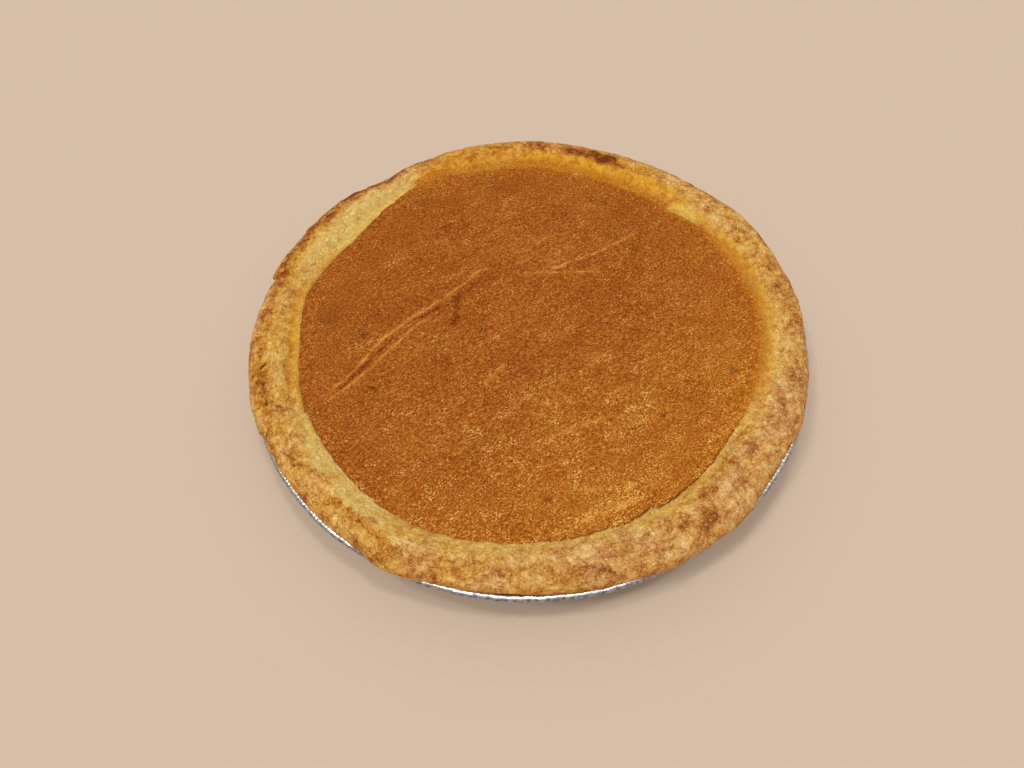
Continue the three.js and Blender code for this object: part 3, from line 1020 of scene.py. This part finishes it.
def filling_material():
    s = Shader("custard")
    grain = s.noise(0.75, 2, 0.8)
    drawn = s.noise(0.75, 2, 0.8, s.swept(2.0))
    blotch = s.noise(9, 3, 0.55, s.swept(2.0))
    broad = s.noise(34, 2, 0.5)
    tone = s.sum(
        s.times(grain, 1.05),
        s.times(drawn, 1.00),
        s.times(blotch, 0.16),
        s.times(broad, 0.12),
        # The streaks' height goes into the tone too: painted highlight on their ridges, painted
        # shade in their furrows.
        s.times(s.painted("streak"), 0.75),
        -0.655,
    )
    plain = s.ramp(tone, [
        (0.22, srgb(114, 48, 4)), (0.40, srgb(148, 74, 16)), (0.51, srgb(165, 89, 23)),
        (0.62, srgb(184, 107, 34)), (0.80, srgb(216, 144, 64)),
    ])
    gold = s.ramp(tone, [
        (0.22, srgb(128, 62, 4)), (0.40, srgb(163, 89, 16)), (0.51, srgb(180, 106, 23)),
        (0.62, srgb(198, 124, 36)), (0.80, srgb(228, 160, 70)),
    ])
    colour = s.mix(s.times(s.painted("golden"), 0.75), plain, gold)
    ruddy = s.between(s.noise(15, 3, 0.6, s.swept(1.7)), 0.40, 0.62)
    colour = s.mix(s.times(ruddy, 0.55), colour, (0.97, 0.82, 0.92, 1.0), "MULTIPLY")
    rust = s.mix(s.between(grain, 0.35, 0.65), srgb(174, 98, 20), srgb(222, 145, 38))
    cover = s.between(s.sum(s.painted("skin"), s.times(grain, 0.5), -0.25), 0.10, 0.90)
    colour = s.mix(s.times(cover, 0.92), colour, rust)
    # Pits are painted darker, as shade in them.
    colour = s.mix(s.times(s.painted("pit_shade"), 0.35), colour, srgb(124, 54, 6))
    colour = s.mix(s.painted("spot"), colour, srgb(84, 38, 6))
    # Seams are painted dark, as shade in the gap at the filling's edge.
    colour = s.mix(s.times(s.painted("seam"), 0.9), colour, srgb(84, 42, 10))
    # Painted highlights: bright specks mixed into the colour stand in for glints, with lower
    # roughness there.
    glint_specks = s.noise(0.52, 1, 0.5, s.swept(1.5))
    clusters = s.noise(4.5, 2, 0.6, s.swept(1.6))
    level = s.sum(glint_specks, s.times(clusters, 0.42), s.times(s.painted("sheen"), 0.09))
    sparkle = s.between(level, 0.915, 1.02)
    colour = s.mix(s.times(sparkle, 0.85), colour, srgb(255, 196, 104))
    s.put(s.surface.inputs["Base Color"], colour)
    s.put(s.surface.inputs["Roughness"], s.between(sparkle, 0.0, 1.0, 0.55, 0.3))
    s.surface.inputs["Specular IOR Level"].default_value = 0.06
    s.put(s.surface.inputs["Normal"], s.bump(s.sum(grain, drawn), 0.30))
    return s.material


def foil_material():
    """Bright foil that is crumpled, and painted duller round its flange under the top of its edge
    as shade and darker reflection, and in scattered dents as darker reflection.
    """
    s = Shader("crumpled_foil")
    crumple = s.noise(1.6, 3, 0.65)
    split = s.add("ShaderNodeSeparateXYZ", {"Vector": s.place})
    height = split.outputs["Z"]
    # Under the top of the rolled edge the foil is painted dull grey, as shade and darker
    # reflection.
    below = s.between(height, (FLANGE_TOP - 0.7) * MM, (FLANGE_TOP - 0.1) * MM, 1.0, 0.0)
    above = s.between(height, (FLANGE_TOP - 5) * MM, (FLANGE_TOP - 3) * MM, 0.1, 1.0)
    bright = s.mix(crumple, srgb(226, 228, 231), srgb(250, 250, 251))
    shaded_grey = s.mix(s.between(crumple, 0.4, 0.6), srgb(120, 124, 130), srgb(190, 193, 198))
    dents = s.between(s.noise(5, 3, 0.6), 0.50, 0.62, 0.0, 0.3)
    cover = s.times(s.math("MAXIMUM", below, dents), above)
    s.put(s.surface.inputs["Base Color"], s.mix(cover, bright, shaded_grey))
    s.surface.inputs["Metallic"].default_value = 1.0
    s.put(s.surface.inputs["Roughness"], s.between(crumple, 0.3, 0.7, 0.22, 0.36))
    s.put(s.surface.inputs["Normal"], s.bump(s.times(crumple, above), 0.32))
    return s.material


# The stage, in metres.
FLOOR_REACH = 3.0
FLOOR_COLOUR = srgb(217, 193, 169)
# Each light's lean from straight above, its side in plan and its width, in degrees, and strength.
LIGHTS = {
    "left": (13, 335, 6, 0.50),
    "middle": (14, 204, 6, 0.45),
    "right": (29, 212, 8, 0.65),
}
# The sky's strength at the horizon, what it gains overhead, and how late it gains it.
SKY_LOW = 0.29
SKY_HIGH = 0.66
SKY_POWER = 4


def make_floor():
    mesh = bpy.data.meshes.new("floor")
    far = FLOOR_REACH
    corners = [(-far, -far, 0), (far, -far, 0), (far, far, 0), (-far, far, 0)]
    mesh.from_pydata(corners, [], [(0, 1, 2, 3)])
    floor = bpy.data.objects.new("floor", mesh)
    bpy.context.scene.collection.objects.link(floor)
    s = Shader("floor")
    s.surface.inputs["Base Color"].default_value = FLOOR_COLOUR
    s.surface.inputs["Roughness"].default_value = 0.9
    s.surface.inputs["Specular IOR Level"].default_value = 0.1
    mesh.materials.append(s.material)


def make_lights():
    """Soft lights from far off, the same all over the floor."""
    for name, (lean, side, width, strength) in LIGHTS.items():
        data = bpy.data.lights.new(name, "SUN")
        data.energy = strength
        data.angle = math.radians(width)
        lamp = bpy.data.objects.new(name, data)
        out = math.sin(math.radians(lean))
        turn = math.radians(side)
        towards = Vector((out * math.cos(turn), out * math.sin(turn), math.cos(math.radians(lean))))
        lamp.rotation_euler = (-towards).to_track_quat("-Z", "Y").to_euler()
        lamp.location = towards
        bpy.context.scene.collection.objects.link(lamp)


def make_world():
    world = bpy.data.worlds.new("studio")
    world.use_nodes = True
    tree = world.node_tree
    background = tree.nodes["Background"]
    place = tree.nodes.new("ShaderNodeTexCoord").outputs["Generated"]
    split = tree.nodes.new("ShaderNodeSeparateXYZ")
    rise = tree.nodes.new("ShaderNodeMath")
    rise.operation = "POWER"
    rise.use_clamp = True
    rise.inputs[1].default_value = SKY_POWER
    glow = tree.nodes.new("ShaderNodeMath")
    glow.operation = "MULTIPLY_ADD"
    glow.inputs[1].default_value = SKY_HIGH
    glow.inputs[2].default_value = SKY_LOW
    tree.links.new(place, split.inputs["Vector"])
    tree.links.new(split.outputs["Z"], rise.inputs[0])
    tree.links.new(rise.outputs["Value"], glow.inputs[0])
    tree.links.new(glow.outputs["Value"], background.inputs["Strength"])
    background.inputs["Color"].default_value = (1, 1, 1, 1)
    bpy.context.scene.world = world


# The camera looks down on the near side, with the pie above the middle of the picture.
CAMERA_DISTANCE = 340 * MM
CAMERA_ELEVATION = 52.67
CAMERA_TARGET_HEIGHT = 30 * MM
CAMERA_TURN = 1.17
CAMERA_DIP = -4.31
CAMERA_ROLL = -0.74
SENSOR_WIDTH = 36
FOCAL_SHARE = 0.7522


def make_camera():
    data = bpy.data.cameras.new("camera")
    data.sensor_width = SENSOR_WIDTH
    data.lens = SENSOR_WIDTH * FOCAL_SHARE
    data.clip_start = 0.01
    camera = bpy.data.objects.new("camera", data)
    tilt = math.radians(CAMERA_ELEVATION)
    back = Vector((0, -math.cos(tilt), math.sin(tilt)))
    place = Vector((0, 0, CAMERA_TARGET_HEIGHT)) + CAMERA_DISTANCE * back
    aim = Matrix.Rotation(math.pi / 2 - tilt, 4, "X")
    aim @= Matrix.Rotation(math.radians(CAMERA_DIP), 4, "X")
    aim @= Matrix.Rotation(math.radians(CAMERA_TURN), 4, "Y")
    aim @= Matrix.Rotation(math.radians(CAMERA_ROLL), 4, "Z")
    camera.matrix_world = Matrix.Translation(place) @ aim
    bpy.context.scene.collection.objects.link(camera)
    bpy.context.scene.camera = camera


make_crust()
make_filling()
foil_look = foil_material()
make_tin(foil_look)
make_tin_edge(foil_look)
make_floor()
make_world()
make_lights()
make_camera()
bpy.context.scene.view_settings.view_transform = "Standard"
